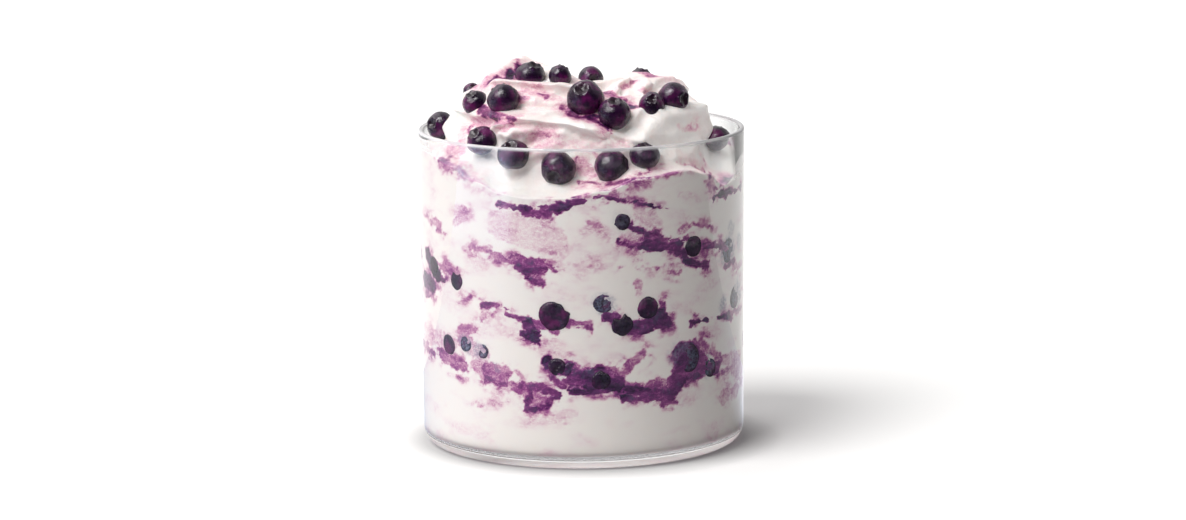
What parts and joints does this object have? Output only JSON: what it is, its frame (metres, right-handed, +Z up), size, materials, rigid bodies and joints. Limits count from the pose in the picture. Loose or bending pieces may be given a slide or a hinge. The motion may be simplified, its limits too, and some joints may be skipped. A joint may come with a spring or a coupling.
{
  "type": "soft serve dessert cup",
  "caption": "Clear straight-sided glass tumbler filled with white soft serve, rippled with dark berry sauce and topped with a folded mound and whole blueberries.",
  "frame": {"origin": "centre of the glass's flat base, on the table", "axes": "+Z up; -Y is the front that the picture shows, +X its right"},
  "size_m": [0.096, 0.096, 0.1131],
  "materials": {
    "glass": "clear, polished, fire-rounded rim",
    "cream": "soft, moist, satin",
    "sauce": "wet, glossy fruit sauce",
    "berry": "smooth dark skin with a dull bloom, wet in places"
  },
  "bodies": {
    "root": {"glass": "glass", "cream": "cream", "ripple_1": "sauce", "ripple_2": "sauce", "ripple_3": "sauce", "ripple_4": "sauce", "berry_top_01": "berry", "berry_top_02": "berry", "berry_top_03": "berry", "berry_top_04": "berry", "berry_top_05": "berry", "berry_top_06": "berry", "berry_top_07": "berry", "berry_top_08": "berry", "berry_top_09": "berry", "berry_top_10": "berry", "berry_top_11": "berry", "berry_top_12": "berry", "berry_top_13": "berry", "berry_top_14": "berry", "berry_top_15": "berry", "berry_top_16": "berry", "berry_top_17": "berry", "berry_top_18": "berry", "berry_top_19": "berry", "berry_top_20": "berry", "berry_top_21": "berry", "berry_top_22": "berry", "berry_top_23": "berry", "berry_top_24": "berry", "berry_top_25": "berry", "berry_side_01": "berry", "berry_side_02": "berry", "berry_side_03": "berry", "berry_side_04": "berry", "berry_side_05": "berry", "berry_side_06": "berry", "berry_side_07": "berry", "berry_side_08": "berry", "berry_side_09": "berry", "berry_side_10": "berry", "berry_side_11": "berry", "berry_side_12": "berry", "berry_side_13": "berry", "berry_side_14": "berry", "berry_side_15": "berry", "berry_side_16": "berry", "berry_side_17": "berry", "berry_side_18": "berry", "berry_side_19": "berry", "berry_side_20": "berry", "berry_side_21": "berry", "berry_side_22": "berry", "berry_side_23": "berry", "berry_side_24": "berry"}
  },
  "joints": []
}
